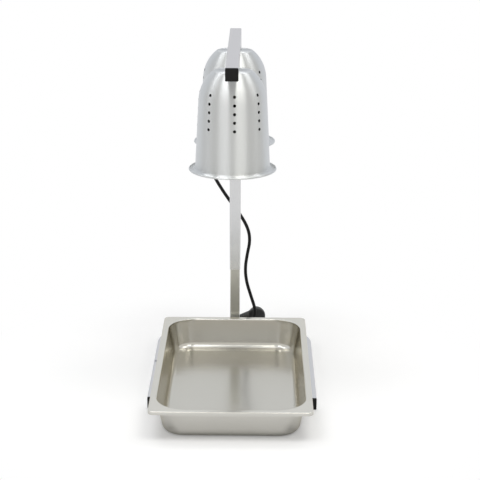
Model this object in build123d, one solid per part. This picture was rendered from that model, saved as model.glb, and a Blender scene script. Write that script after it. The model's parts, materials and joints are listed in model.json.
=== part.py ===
from build123d import *
import math
import os

# Twin food heat lamp over a full-size gastronorm pan.
# Millimetres, +Z up, front towards -Y, +X to the right as seen from the front.
# The origin is on the table, midway across the base and midway between the pan's front edge
# and the rearmost point behind the post.

# Square tube of the base, the upper post and the arm
tube_side = 25.0
tube_wall = 1.5
tube_corner = 2.0
smallest_radius = 0.3

# Base, a U lying on the table
base_gap = 0.5
base_length = 407.5
base_bend = 75.0
drain_radius = 3.0
drain_inset = 4.5
drain_reach = 198.0

# Posts: the upper one slides over the lower one
overall_height = 729.0
upper_foot_z = 177.0
post_overlap = 243.0
lower_corner = 1.5
slide_gap = 0.15
glide_head = 3.0
glide_depth = 16.0
fit_gap = 0.05

# Bolt that fastens the lower post to the base
bolt_radius = 4.0
bolt_head_across = 13.0
bolt_head_height = 5.3
bolt_grip = 16.0
washer_radius = 8.0
washer_height = 1.6
foot_block_height = 22.0
access_gap = 1.5

# Plugs in the open tube ends
cap_head = 3.0
cap_edge = 0.5
cap_depth = 12.0

# Arm and lamps
arm_overhang = 114.5
rear_lamp_reach = 133.0
lamp_spacing = 240.0

# Shade, a spun bell: an upper half ellipsoid cut flat at the crown, on a skirt that widens to the rim
shade_height = 196.5
shade_wall = 1.2
bulb_gap = 6.0
shade_dome_height = 74.3
shade_crown_rise = 61.0
shade_crown_bend = 2.5
shade_taper = 3.05
shade_flare = 9.0
rim_reach = 19.9
rim_bead = 1.6
vent_radius = 3.0
vent_columns = 8
vent_rows = 5
vent_drop = 39.5
vent_pitch = 16.5
front_vent_turn = 2.0
rear_vent_turn = 10.0

# Lamp holder and bulb
nipple_radius = 5.0
nipple_bore = 3.5
nipple_rise = 2.0
nut_across = 16.0
nut_height = 4.0
holder_wall = 6.6
holder_neck_radius = 13.0
holder_neck_height = 8.0
holder_shoulder = 4.0
holder_height = 52.0
holder_roof = 10.0
cap_gap = 0.6
shell_wall = 0.6
shell_length = 27.0
contact_sheet = 0.8
contact_drop = 4.0
bulb_length = 136.0
bulb_radius = 61.0
bulb_wall = 2.0
bulb_cap_radius = 13.1
bulb_cap_length = 25.0
bulb_tip_radius = 4.5
bulb_tip_height = 2.5
bulb_face_crown = 12.0
bulb_rim_height = 9.0
bulb_neck_gap = 3.0

# Pan, full-size gastronorm
pan_length = 530.0
pan_width = 325.0
pan_depth = 65.0
pan_sheet = 0.8
pan_flange = 12.5
pan_lip = 7.0
pan_flange_corner = 12.0
pan_corner = 57.0
pan_floor_radius = 14.0
pan_taper = 9.0
pan_bend = 3.5
pan_edge_radius = 1.5
pan_gap = 12.5

# Clamp screw behind the post
knob_radius = 11.0
knob_length = 15.0
knob_gap = 1.0
knob_rise = 20.0
knob_flutes = 8
knob_flute_radius = 2.4
knob_flute_offset = 1.0
knob_edge = 1.5
stud_radius = 3.0
stud_grip = 10.0
stud_tip_gap = 0.3
lock_nut_across = 14.0
lock_nut_height = 6.0
running_gap = 0.08

# Cord entry and wiring
gland_drop = 94.0
gland_shoulder = 3.1
gland_flange = 3.0
gland_boot = 21.0
gland_root_wall = 3.75
gland_tip_wall = 1.35
gland_thread_wall = 2.65
gland_nut_wall = 1.6
gland_nut_height = 3.0
wire_radius = 0.95
wire_gap = 0.2
wire_bend = 4.0
wire_lead = 0.4
wire_inset = 1.1
wire_end_gap = 0.2
block_gap = 1.0
block_depth = 13.0
block_height = 30.0
block_rise = 30.0
block_pole_pitch = 6.0
block_screw_radius = 1.5
block_screw_length = 8.0
block_screw_head = 3.0
block_screw_head_height = 1.8
wire_clear = 0.5
wire_layer = 5.0
rear_wire_pitch = 3.5
wire_spread = 3.5
nipple_wire_gap = 0.45

# Cord, coil and plug; places are given from the post's centre
cord_diameter = 6.5
cord_gap = 0.2
bend_share = 0.45
coil_x = -75.0
coil_y = 62.0
coil_layers = 2
coil_mean_radius = 37.5
coil_edge = 2.5
tie_sheet = 0.8
tie_angle = 14.0
tie_place = 205.0
plug_x = 50.5
plug_y = 110.0
plug_radius = 21.0
plug_grip_depth = 14.0
plug_face_radius = 18.5
plug_face_depth = 10.0
plug_edge = 4.0
plug_rib_width = 2.6
plug_rib_height = 0.9
boot_reach = 57.0
boot_droop = 9.0
boot_root = 10.5
boot_tip_wall = 1.15
boot_overlap = 6.0
pin_radius = 2.4
pin_length = 19.0
pin_spacing = 19.0
pin_root = 6.0
pin_root_radius = 2.0
pin_edge = 1.0
clip_width = 8.0
clip_sheet = 1.2
clip_length = 9.0

# Route of the hanging lead below the gland, from the post's centre: right, back and height
lead_route = [
    (0.0, 62.0, 610.0),
    (-5.0, 85.0, 599.5),
    (-14.0, 97.0, 577.0),
    (-25.0, 97.0, 548.0),
    (-38.0, 88.0, 513.0),
    (-51.0, 76.0, 476.0),
    (-60.0, 65.0, 434.0),
    (-55.0, 58.0, 390.0),
    (-36.0, 56.5, 356.0),
    (-11.0, 58.0, 318.0),
    (14.5, 60.0, 283.0),
    (30.5, 61.5, 251.0),
    (34.0, 62.5, 222.0),
    (27.5, 64.0, 190.0),
    (22.6, 66.0, 154.0),
    (26.0, 68.0, 120.0),
    (36.0, 69.5, 86.5),
    (49.3, 70.0, 44.4),
    (40.6, 69.0, 18.9),
    (18.6, 66.0, 3.25),
    (-7.0, 56.0, 3.25),
    (-31.0, 41.5, 3.4),
    (-54.6, 26.7, 4.05),
]
# Route of the short tail from the coil to the plug, without its two ends
tail_route = [
    (-40.0, 102.9, 4.9),
]

# Places worked out from the sizes above
inner_corner = max(tube_corner - tube_wall, smallest_radius)
lower_side = tube_side - 2 * tube_wall - 2 * slide_gap
lower_inside = lower_side - 2 * tube_wall
half_tube = tube_side / 2
bore_half = half_tube - tube_wall
base_width = pan_width - 2 * pan_flange + 2 * base_gap + 2 * tube_side
knob_reach = lock_nut_height + knob_gap + knob_length
gland_reach = gland_flange + gland_boot
front_reach = half_tube + pan_gap + pan_length
rear_reach = half_tube + max(knob_reach, gland_reach)
post_y = (front_reach - rear_reach) / 2
post_rear = post_y + half_tube
lower_top_z = upper_foot_z + post_overlap
arm_bottom = overall_height - tube_side
arm_floor = arm_bottom + tube_wall
base_front = post_rear - base_length
pan_y = post_y - half_tube - pan_gap - pan_length / 2
rear_lamp_y = post_y - rear_lamp_reach
front_lamp_y = rear_lamp_y - lamp_spacing
arm_front = front_lamp_y - arm_overhang
rim_z = arm_bottom - shade_height
knob_z = upper_foot_z + knob_rise
boot_y = plug_y - plug_grip_depth / 2

# Shade radii, from the bulb that hangs in it
shade_dome_radius = bulb_radius + bulb_gap
shade_crown_radius = shade_dome_radius * math.sqrt(1 - (shade_crown_rise / shade_dome_height) ** 2)
rim_radius = shade_dome_radius + rim_reach

# Holder radii, from the bulb's cap outwards
shell_bore = bulb_cap_radius + cap_gap
shell_radius = shell_bore + shell_wall
holder_bore = shell_radius + running_gap
holder_radius = holder_bore + holder_wall

# Cord entry, from the cord outwards, and the wires from it
cord_radius = cord_diameter / 2
gland_z = arm_bottom - gland_drop
gland_thread = cord_radius + gland_thread_wall
gland_radius = gland_thread + gland_shoulder
gland_nut_across = 2 * (gland_thread + gland_nut_wall)
block_z = gland_z + block_rise
block_width = 2 * (bore_half - block_gap)
block_front = post_y + bore_half - block_depth
wire_rise_y = block_front + wire_inset
cable_end_y = wire_rise_y + wire_bend + wire_lead
wire_pitch = 2 * wire_radius + wire_gap
nipple_wire_pitch = wire_radius + nipple_wire_gap
nipple_top = arm_floor + nut_height + nipple_rise
rear_wire_z = nipple_top + wire_bend + wire_clear
front_wire_z = rear_wire_z + wire_layer
front_wire_pitch = rear_wire_pitch + wire_spread

# Heights within a lamp, from the shade's crown down
crown_inside = arm_bottom - shade_wall
holder_top = crown_inside - nut_height
holder_ceiling = holder_top - holder_roof
holder_bottom = holder_top - holder_height
contact_bottom = holder_ceiling - contact_drop
cap_top = contact_bottom - bulb_tip_height
cap_bottom = cap_top - bulb_cap_length
bulb_bottom = contact_bottom - bulb_length

upright = (Align.CENTER, Align.CENTER, Align.MIN)
flats_to_x = 30


def rod(radius, low, high):
    """Upright cylinder on the Z axis between two heights."""
    return Pos(0, 0, low) * Cylinder(radius, high - low, align=upright)


def ring(outer, inner, low, high):
    """Upright tube on the Z axis between two heights."""
    return rod(outer, low, high) - rod(inner, low, high)


def hexagon(across, low, high, turn=0):
    """Upright hexagonal prism on the Z axis between two heights, its flats towards Y if not turned."""
    flat = Pos(0, 0, low) * RegularPolygon(across / 2, 6, major_radius=False, rotation=turn)
    return extrude(flat, high - low)


def square_bar(side, corner, length):
    """Square bar with rounded edges standing on the XY plane."""
    return extrude(RectangleRounded(side, side, corner), length)


def square_tube(side, wall, corner, length):
    """Square tube standing on the XY plane."""
    inside = max(corner - wall, smallest_radius)
    return square_bar(side, corner, length) - square_bar(side - 2 * wall, inside, length)


def facing_back(shape, back, height):
    """Shape made on the Z axis, laid to point backwards from a place on the post's centre plane."""
    return Pos(0, back, height) * Rot(-90, 0, 0) * shape


def sweep_round(path, radius):
    """Round bar along a path."""
    section = Plane(origin=path @ 0, z_dir=path % 0) * Circle(radius)
    return sweep(section, path)


def base_tube():
    """U-shaped tube with its bolt holes and a drain hole in the left arm."""
    side_x = (base_width - tube_side) / 2
    front = base_front + cap_head
    corners = [
        (-side_x, front, half_tube),
        (-side_x, post_y, half_tube),
        (side_x, post_y, half_tube),
        (side_x, front, half_tube),
    ]
    path = FilletPolyline(*corners, radius=base_bend)
    start = Plane(origin=path @ 0, z_dir=path % 0)
    skin = RectangleRounded(tube_side, tube_side, tube_corner)
    hollow = RectangleRounded(tube_side - 2 * tube_wall, tube_side - 2 * tube_wall, inner_corner)
    tube = sweep(start * skin, path) - sweep(start * hollow, path)
    bolt_hole = Pos(0, post_y, 0) * rod(bolt_radius + fit_gap, half_tube, 2 * tube_side)
    access_hole = Pos(0, post_y, 0) * rod(washer_radius + access_gap, -tube_side, half_tube)
    drain_x = -base_width / 2 + drain_inset
    drain = Pos(drain_x, post_y - drain_reach, 0) * rod(drain_radius, half_tube, 2 * tube_side)
    return tube - [bolt_hole, access_hole, drain]


def tube_plug():
    """Square plug for a tube's end, its head's outer face on the XY plane and its stem upwards."""
    head = square_bar(tube_side, tube_corner, cap_head)
    head = fillet(head.faces().sort_by(Axis.Z)[0].edges(), cap_edge)
    stem_side = tube_side - 2 * tube_wall - 2 * fit_gap
    stem_wall = 2 * tube_wall
    stem = square_tube(stem_side, stem_wall, inner_corner, cap_depth)
    return head + Pos(0, 0, cap_head) * stem


def base_end_caps():
    """Two plugs in the front ends of the base."""
    side_x = (base_width - tube_side) / 2
    plug = Rot(-90, 0, 0) * tube_plug()
    return [Pos(x, base_front, half_tube) * plug for x in (-side_x, side_x)]


def lower_post():
    """Inner post, standing on the base."""
    length = lower_top_z - tube_side
    return Pos(0, post_y, tube_side) * square_tube(lower_side, tube_wall, lower_corner, length)


def post_foot_block():
    """Tapped block inside the foot of the lower post."""
    side = lower_inside - 2 * fit_gap
    block = square_bar(side, smallest_radius, foot_block_height)
    bore = rod(bolt_radius + fit_gap, 0, bolt_grip + bolt_radius)
    return Pos(0, post_y, tube_side) * (block - bore)


def post_bolt():
    """Bolt from inside the base tube up into the foot block."""
    seat = tube_side - tube_wall - washer_height
    head = hexagon(bolt_head_across, seat - bolt_head_height, seat)
    return Pos(0, post_y, 0) * (head + rod(bolt_radius, seat, tube_side + bolt_grip))


def post_washer():
    """Washer between the bolt's head and the base tube's upper wall."""
    top = tube_side - tube_wall
    return Pos(0, post_y, 0) * ring(washer_radius, bolt_radius + fit_gap, top - washer_height, top)


def post_glide():
    """Plastic guide in the top of the lower post."""
    head = square_bar(lower_side + slide_gap, inner_corner + slide_gap, glide_head)
    stem_side = lower_inside - 2 * fit_gap
    stem = Pos(0, 0, -glide_depth) * square_tube(stem_side, 2 * tube_wall, inner_corner, glide_depth)
    return Pos(0, post_y, lower_top_z) * (head + stem)


def mitre_block(above):
    """Large wedge on one side of the mitre between post and arm."""
    size = 4 * overall_height
    half = Box(size, size, size, align=upright)
    tilt = 45 if above else 225
    return Pos(0, post_y, arm_bottom + half_tube) * Rot(tilt, 0, 0) * half


def upper_post():
    """Outer post with its mitred top and the holes in its rear wall."""
    length = overall_height - upper_foot_z
    tube = Pos(0, post_y, upper_foot_z) * square_tube(tube_side, tube_wall, tube_corner, length)
    tube = tube - mitre_block(True)
    stud_hole = facing_back(rod(stud_radius + running_gap, 0, tube_side), post_y, knob_z)
    gland_hole = facing_back(rod(gland_thread + fit_gap, 0, tube_side), post_y, gland_z)
    screw_z = block_z + block_height / 2
    screw_hole = facing_back(rod(block_screw_radius + fit_gap, 0, tube_side), post_y, screw_z)
    return tube - [stud_hole, gland_hole, screw_hole]


def lamp_arm():
    """Arm with its mitred rear end and the two nipple holes."""
    length = post_rear - arm_front - cap_head
    tube = Rot(-90, 0, 0) * square_tube(tube_side, tube_wall, tube_corner, length)
    tube = Pos(0, arm_front + cap_head, arm_bottom + half_tube) * tube
    tube = tube - mitre_block(False)
    hole = rod(nipple_radius + fit_gap, arm_bottom - tube_wall, arm_floor + tube_wall)
    return tube - [Pos(0, y, 0) * hole for y in (front_lamp_y, rear_lamp_y)]


def arm_end_cap():
    """Plug in the front end of the arm."""
    return Pos(0, arm_front, arm_bottom + half_tube) * Rot(-90, 0, 0) * tube_plug()


def shade_skin(inset):
    """Half outline of the spun shell, from the crown to the rim, inset from its outer face."""
    taper = math.radians(shade_taper)
    width = shade_dome_radius - inset
    height = shade_dome_height - inset
    flare = shade_flare + inset
    centre = (0, shade_height - shade_crown_rise)
    shoulder = math.degrees(math.atan(math.tan(taper) * height / width))
    crown_angle = math.degrees(math.asin((shade_crown_rise - inset) / height))
    dome = EllipticalCenterArc(centre, width, height, shoulder, arc_size=crown_angle - shoulder)
    crown = Line((0, shade_height - inset), dome @ 1)
    wall_top = dome @ 0
    flange_top = rim_bead + shade_wall / 2 - inset
    wall_foot_z = flange_top + flare * (1 - math.sin(taper))
    wall_foot_r = wall_top.X + (wall_top.Y - wall_foot_z) * math.tan(taper)
    wall = Line(wall_top, (wall_foot_r, wall_foot_z))
    bend = JernArc(wall @ 1, (math.sin(taper), -math.cos(taper)), flare, 90 - shade_taper)
    flange = Line(bend @ 1, (rim_radius - rim_bead, flange_top))
    return [crown, dome, wall, bend, flange]


def crown_edge(shell, height):
    """Round edge of a shell's crown at a height."""
    level = shell.edges().filter_by_position(Axis.Z, height - fit_gap, height + fit_gap)
    return level.filter_by(GeomType.CIRCLE)


def shade(lamp_y, turn):
    """Spun bell with a rolled rim, a nipple hole and columns of vents, hung under the arm."""
    outer = shade_skin(0)
    inner = shade_skin(shade_wall)
    axis_edge = Line(outer[0] @ 0, inner[0] @ 0)
    rim_edge = Line(outer[-1] @ 1, inner[-1] @ 1)
    half = make_face(outer + inner + [axis_edge, rim_edge])
    shell = revolve(Plane.XZ * half, Axis.Z)
    shell = fillet(crown_edge(shell, shade_height), shade_crown_bend)
    shell = fillet(crown_edge(shell, shade_height - shade_wall), shade_crown_bend - shade_wall)
    shell = shell + Pos(0, 0, rim_bead) * Torus(rim_radius - rim_bead, rim_bead)
    reach = rim_radius - shade_crown_radius
    middle = (rim_radius + shade_crown_radius) / 2
    vent_top = shade_height - vent_drop
    vent = Rot(0, 90, 0) * Cylinder(vent_radius, reach)
    cuts = [rod(nipple_radius + fit_gap, shade_height - 2 * shade_wall, shade_height + shade_wall)]
    for column in range(vent_columns):
        angle = -90 + turn + column * 360 / vent_columns
        for row in range(vent_rows):
            cuts.append(Rot(0, 0, angle) * Pos(middle, 0, vent_top - row * vent_pitch) * vent)
    return Pos(0, lamp_y, rim_z) * (shell - cuts)


def nipple(lamp_y):
    """Hollow threaded tube that hangs a lamp from the arm."""
    return Pos(0, lamp_y, 0) * ring(nipple_radius, nipple_bore, holder_ceiling, nipple_top)


def nipple_nuts(lamp_y):
    """Nut on the arm's floor and nut under the shade's crown."""
    bore = nipple_radius + fit_gap
    nuts = []
    for low in (arm_floor, crown_inside - nut_height):
        nut = hexagon(nut_across, low, low + nut_height, flats_to_x)
        nut = nut - rod(bore, low, low + nut_height)
        nuts.append(Pos(0, lamp_y, 0) * nut)
    return nuts


def lamp_holder(lamp_y):
    """Ceramic holder, open below."""
    shoulder = holder_top - holder_neck_height
    body = rod(holder_radius, holder_bottom, shoulder)
    body = fillet(body.edges().sort_by(Axis.Z)[-1], holder_shoulder)
    body = body + rod(holder_neck_radius, shoulder - holder_shoulder, holder_top)
    bore = rod(holder_bore, holder_bottom, holder_ceiling)
    hole = rod(nipple_radius + fit_gap, holder_ceiling, holder_top)
    return Pos(0, lamp_y, 0) * (body - [bore, hole])


def screw_shell(lamp_y):
    """Brass screw shell inside the holder."""
    return Pos(0, lamp_y, 0) * ring(shell_radius, shell_bore, cap_top - shell_length, cap_top)


def contact(lamp_y):
    """Sprung brass centre contact, a dished plate against the holder's ceiling."""
    inner = nipple_radius + contact_sheet
    outer = inner + contact_sheet
    rim = ring(holder_bore - running_gap, inner, holder_ceiling - contact_sheet, holder_ceiling)
    wall = ring(outer, inner, contact_bottom, holder_ceiling)
    floor = rod(outer, contact_bottom, contact_bottom + contact_sheet)
    return Pos(0, lamp_y, 0) * (rim + wall + floor)


def bulb_cap(lamp_y):
    """Screw cap of the bulb with its end contact."""
    cup = ring(bulb_cap_radius, bulb_cap_radius - shell_wall, cap_bottom, cap_top)
    roof = rod(bulb_cap_radius, cap_top - bulb_tip_height, cap_top)
    tip = rod(bulb_tip_radius, cap_top, contact_bottom)
    return Pos(0, lamp_y, 0) * (cup + roof + tip)


def bulb_outline(inset):
    """Half outline of the reflector bulb, from its neck to the middle of its face."""
    neck = bulb_cap_radius - inset
    widest = bulb_radius - inset
    rim_foot = bulb_bottom + bulb_face_crown
    widest_z = rim_foot + bulb_rim_height
    bowl_width = bulb_radius - bulb_cap_radius - inset
    bowl_height = holder_bottom - bulb_neck_gap - widest_z - inset
    bowl = EllipticalCenterArc((bulb_cap_radius, widest_z), bowl_width, bowl_height, 0, arc_size=90)
    neck_side = Line((neck, cap_bottom), (neck, widest_z + bowl_height))
    rim = Line((widest, widest_z), (widest, rim_foot))
    face_radius = (bulb_radius ** 2 + bulb_face_crown ** 2) / (2 * bulb_face_crown) - inset
    face = RadiusArc((widest, rim_foot), (0, bulb_bottom + inset), face_radius)
    edges = [neck_side, bowl, rim, face]
    if inset:
        edges.append(Line(neck_side @ 1, bowl @ 1))
    return edges


def bulb_glass(lamp_y):
    """Reflector bulb's glass, open at the neck where the cap closes it."""
    outer = bulb_outline(0)
    inner = bulb_outline(bulb_wall)
    neck_edge = Line(outer[0] @ 0, inner[0] @ 0)
    axis_edge = Line(outer[3] @ 1, inner[3] @ 1)
    half = make_face(outer + inner + [neck_edge, axis_edge])
    return Pos(0, lamp_y, 0) * revolve(Plane.XZ * half, Axis.Z)


def pan_form(inset):
    """Tapered tub with a rounded floor, inset from the pan's outer skin."""
    width = pan_width - 2 * pan_flange
    length = pan_length - 2 * pan_flange
    mouth = RectangleRounded(width - 2 * inset, length - 2 * inset, pan_corner - inset)
    tub = extrude(Pos(0, 0, pan_depth) * mouth, pan_depth - inset, dir=(0, 0, -1), taper=pan_taper)
    floor_edges = tub.faces().sort_by(Axis.Z)[0].edges()
    return fillet(floor_edges, pan_floor_radius - inset)


def at_mouth(edge):
    """True for an edge round the pan's mouth, False for one on the flange's outer edge."""
    reach_x = pan_width / 2 - pan_flange + pan_bend
    reach_y = pan_length / 2 - pan_flange + pan_bend
    return abs(edge.center().X) < reach_x and abs(edge.center().Y) < reach_y


def food_pan():
    """Deep-drawn pan with a flat flange whose edge is turned down."""
    under = pan_depth - pan_sheet
    skin = RectangleRounded(pan_width, pan_length, pan_flange_corner)
    inside = RectangleRounded(pan_width - 2 * pan_sheet, pan_length - 2 * pan_sheet,
                              pan_flange_corner - pan_sheet)
    plate = extrude(Pos(0, 0, under) * skin, pan_sheet)
    lip = extrude(Pos(0, 0, pan_depth - pan_lip) * (skin - inside), pan_lip)
    pan = pan_form(0) + plate + lip
    under_edges = pan.edges().filter_by_position(Axis.Z, under - fit_gap, under + fit_gap)
    pan = fillet(under_edges.filter_by(at_mouth), pan_bend - pan_sheet)
    pan = pan - pan_form(pan_sheet)
    top_edges = pan.edges().filter_by_position(Axis.Z, pan_depth - fit_gap, pan_depth + fit_gap)
    pan = fillet(top_edges.filter_by(at_mouth), pan_bend)
    rim_face = pan.faces().sort_by(Axis.Z)[-1]
    pan = fillet(rim_face.outer_wire().edges(), pan_edge_radius)
    return Pos(0, pan_y, 0) * pan


def lock_knob():
    """Fluted knob of the clamp screw."""
    start = lock_nut_height + knob_gap
    knob = rod(knob_radius, start, start + knob_length)
    knob = fillet(knob.edges().filter_by(GeomType.CIRCLE), knob_edge)
    flute = rod(knob_flute_radius, start - knob_gap, start + knob_length + knob_gap)
    cuts = [rod(stud_radius + fit_gap, start, start + stud_grip)]
    flute = Pos(knob_radius + knob_flute_offset, 0, 0) * flute
    for index in range(knob_flutes):
        cuts.append(Rot(0, 0, index * 360 / knob_flutes) * flute)
    return facing_back(knob - cuts, post_rear, knob_z)


def lock_stud():
    """Threaded stud from the knob to just short of the lower post's rear face."""
    tip = -tube_wall - slide_gap + stud_tip_gap
    end = lock_nut_height + knob_gap + stud_grip
    return facing_back(rod(stud_radius, tip, end), post_rear, knob_z)


def lock_nut():
    """Nut welded on the upper post for the clamp screw."""
    nut = hexagon(lock_nut_across, 0, lock_nut_height)
    bore = rod(stud_radius + running_gap, 0, lock_nut_height)
    return facing_back(nut - bore, post_rear, knob_z)


def cord_gland():
    """Strain relief with a tapered boot, screwed into the post's rear wall."""
    thread = rod(gland_thread, -tube_wall - gland_nut_height, 0)
    flange = rod(gland_radius, 0, gland_flange)
    cone = Cone(cord_radius + gland_root_wall, cord_radius + gland_tip_wall, gland_boot, align=upright)
    body = thread + flange + Pos(0, 0, gland_flange) * cone
    bore = rod(cord_radius + fit_gap, -tube_side, gland_reach)
    return facing_back(body - bore, post_rear, gland_z)


def gland_nut():
    """Nut that holds the gland from inside the post."""
    low = -tube_wall - gland_nut_height
    nut = hexagon(gland_nut_across, low, -tube_wall, flats_to_x)
    bore = rod(gland_thread + fit_gap, low, -tube_wall)
    return facing_back(nut - bore, post_rear, gland_z)


def supply_cable():
    """End of the mains lead inside the gland."""
    return facing_back(rod(cord_radius, cable_end_y - post_rear, gland_reach), post_rear, gland_z)


def terminal_block():
    """Three-pole block on the post's rear inner wall."""
    body = Box(block_width, block_depth, block_height, align=upright)
    body = Pos(0, block_front + block_depth / 2, block_z) * body
    screw_z = block_z + block_height / 2
    hole = facing_back(rod(block_screw_radius + fit_gap, -block_screw_length, 0), post_rear, screw_z)
    return body - hole


def terminal_screw():
    """Screw through the post's rear wall that holds the terminal block."""
    shank = rod(block_screw_radius, -block_screw_length, 0)
    head = rod(block_screw_head, 0, block_screw_head_height)
    return facing_back(shank + head, post_rear, block_z + block_height / 2)


def supply_wires():
    """Three conductors from the stripped lead up to the terminal block."""
    wires = []
    for pole in (-1, 0, 1):
        low_x = pole * wire_pitch
        points = [
            (low_x, cable_end_y, gland_z),
            (low_x, wire_rise_y, gland_z),
            (pole * block_pole_pitch, wire_rise_y, block_z - wire_end_gap),
        ]
        wires.append(sweep_round(FilletPolyline(*points, radius=wire_bend), wire_radius))
    return wires


def lamp_wires():
    """Two conductors to each lamp, up the post, along the arm and down through the nipple."""
    wires = []
    runs = (
        (front_lamp_y, front_wire_z, front_wire_pitch),
        (rear_lamp_y, rear_wire_z, rear_wire_pitch),
    )
    for lamp_y, level, pitch in runs:
        for hand in (-1, 1):
            points = [
                (hand * pitch, wire_rise_y, block_z + block_height),
                (hand * pitch, wire_rise_y, level),
                (hand * nipple_wire_pitch, lamp_y, level),
                (hand * nipple_wire_pitch, lamp_y, contact_bottom + 2 * contact_sheet),
            ]
            wires.append(sweep_round(FilletPolyline(*points, radius=wire_bend), wire_radius))
    return wires


def bend_radii(points):
    """Largest tangent arc at each corner of a route, from its shorter run and its turn."""
    radii = []
    for before, corner, after in zip(points, points[1:], points[2:]):
        run_in = corner - before
        run_out = after - corner
        half_turn = math.radians(run_in.get_angle(run_out)) / 2
        radii.append(bend_share * min(run_in.length, run_out.length) / math.tan(half_turn))
    return radii


def cord_tube(name, route):
    """Round cord along straight runs joined by tangent arcs, with its bends and volume printed."""
    points = [Vector(x, post_y + y, z) for x, y, z in route]
    radii = bend_radii(points)
    path = FilletPolyline(*points, radius=radii)
    tube = sweep_round(path, cord_radius)
    ratio = tube.volume / (math.pi * cord_radius ** 2 * path.length)
    print(name, "length %.1f" % path.length, "volume over section times length %.4f" % ratio)
    print(name, "radii", ["%.0f" % radius for radius in radii])
    return tube


def cord_lead():
    """Hanging lead from the gland to the coil."""
    start = (0, half_tube + gland_reach + cord_gap, gland_z)
    return cord_tube("cord_lead", [start] + lead_route)


def coil_section(margin):
    """Cross-section of the coil, or of a band round it, beside the Z axis."""
    side = coil_layers * cord_diameter + 2 * margin
    return Pos(coil_mean_radius, tie_sheet + coil_layers * cord_diameter / 2) * RectangleRounded(
        side, side, coil_edge + margin
    )


def cord_coil():
    """Outer shape of the coiled cord, lying behind the base."""
    return Pos(coil_x, post_y + coil_y, 0) * revolve(Plane.XZ * coil_section(0), Axis.Z)


def cord_tie():
    """Band round the coil."""
    band = Plane.XZ * (coil_section(tie_sheet) - coil_section(0))
    tie = revolve(band, Axis.Z, tie_angle)
    return Pos(coil_x, post_y + coil_y, 0) * Rot(0, 0, tie_place) * tie


def cord_tail():
    """Short end of the cord from the top of the coil to the plug's boot."""
    outer_turn = coil_mean_radius + cord_radius
    top_turn = tie_sheet + coil_layers * cord_diameter - cord_radius
    start = (coil_x, coil_y + outer_turn, top_turn)
    end = (plug_x - boot_reach - cord_gap, boot_y, plug_radius - boot_droop)
    return cord_tube("cord_tail", [start] + tail_route + [end])


def plug_place(shape):
    """Shape made on the Z axis, laid with that axis pointing back at the plug's place."""
    return Pos(plug_x, post_y + plug_y, plug_radius) * Rot(-90, 0, 0) * shape


def plug_body():
    """Angled plug lying on its edge: round grip, face block, back rib and tapered boot."""
    grip = rod(plug_radius, -plug_grip_depth, 0)
    grip = fillet(grip.edges().sort_by(Axis.Z)[0], plug_edge)
    face = rod(plug_face_radius, 0, plug_face_depth)
    rib_height = 2 * (plug_radius - plug_edge)
    rib = Pos(0, 0, -plug_grip_depth) * Box(plug_rib_width, rib_height, 2 * plug_rib_height)
    socket = rod(pin_root_radius + fit_gap, plug_face_depth - pin_root, plug_face_depth)
    holes = [Pos(0, hand * pin_spacing / 2, 0) * socket for hand in (-1, 1)]
    moulding = plug_place(grip + face + rib - holes)
    root = Vector(plug_x - plug_radius + boot_overlap, post_y + boot_y, plug_radius)
    tip = Vector(plug_x - boot_reach, post_y + boot_y, plug_radius - boot_droop)
    along = tip - root
    cone = Cone(boot_root, cord_radius + boot_tip_wall, along.length, align=upright)
    notches = [plug_place(Pos(hand * plug_face_radius, 0, 0) * clip_form()) for hand in (-1, 1)]
    return moulding + Plane(origin=root, z_dir=along) * cone - notches


def clip_form():
    """Blank of one earth clip, centred on the face block's edge."""
    blank = Box(2 * clip_sheet, clip_width, clip_length, align=upright)
    return Pos(0, 0, plug_face_depth - clip_length) * blank


def plug_earth_clips():
    """Earth clips on the two sides of the face block."""
    bound = rod(plug_face_radius, 0, plug_face_depth)
    clips = []
    for hand in (-1, 1):
        clips.append(plug_place(Pos(hand * plug_face_radius, 0, 0) * clip_form() & bound))
    return clips


def plug_pins():
    """Two round pins that point away from the front."""
    pin = rod(pin_radius, plug_face_depth, plug_face_depth + pin_length)
    pin = fillet(pin.edges().sort_by(Axis.Z)[-1], pin_edge)
    pin = pin + rod(pin_root_radius, plug_face_depth - pin_root, plug_face_depth)
    return [plug_place(Pos(0, hand * pin_spacing / 2, 0) * pin) for hand in (-1, 1)]


def lamp(prefix, lamp_y, vent_turn):
    """All nodes of one lamp."""
    return {
        prefix + "_shade": shade(lamp_y, vent_turn),
        prefix + "_nipple": nipple(lamp_y),
        prefix + "_nipple_nuts": nipple_nuts(lamp_y),
        prefix + "_lamp_holder": lamp_holder(lamp_y),
        prefix + "_screw_shell": screw_shell(lamp_y),
        prefix + "_contact": contact(lamp_y),
        prefix + "_bulb_cap": bulb_cap(lamp_y),
        prefix + "_bulb_glass": bulb_glass(lamp_y),
    }


def all_nodes():
    """Every node of the heat lamp by name."""
    nodes = {
        "base_tube": base_tube(),
        "base_end_caps": base_end_caps(),
        "lower_post": lower_post(),
        "post_foot_block": post_foot_block(),
        "post_bolt": post_bolt(),
        "post_washer": post_washer(),
        "post_glide": post_glide(),
        "upper_post": upper_post(),
        "lamp_arm": lamp_arm(),
        "arm_end_cap": arm_end_cap(),
        "lock_knob": lock_knob(),
        "lock_stud": lock_stud(),
        "lock_nut": lock_nut(),
        "cord_gland": cord_gland(),
        "gland_nut": gland_nut(),
        "supply_cable": supply_cable(),
        "terminal_block": terminal_block(),
        "terminal_screw": terminal_screw(),
        "supply_wires": supply_wires(),
        "lamp_wires": lamp_wires(),
        "food_pan": food_pan(),
        "cord_lead": cord_lead(),
        "cord_coil": cord_coil(),
        "cord_tie": cord_tie(),
        "cord_tail": cord_tail(),
        "plug_body": plug_body(),
        "plug_pins": plug_pins(),
        "plug_earth_clips": plug_earth_clips(),
    }
    nodes.update(lamp("front", front_lamp_y, front_vent_turn))
    nodes.update(lamp("rear", rear_lamp_y, rear_vent_turn))
    return nodes


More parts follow.
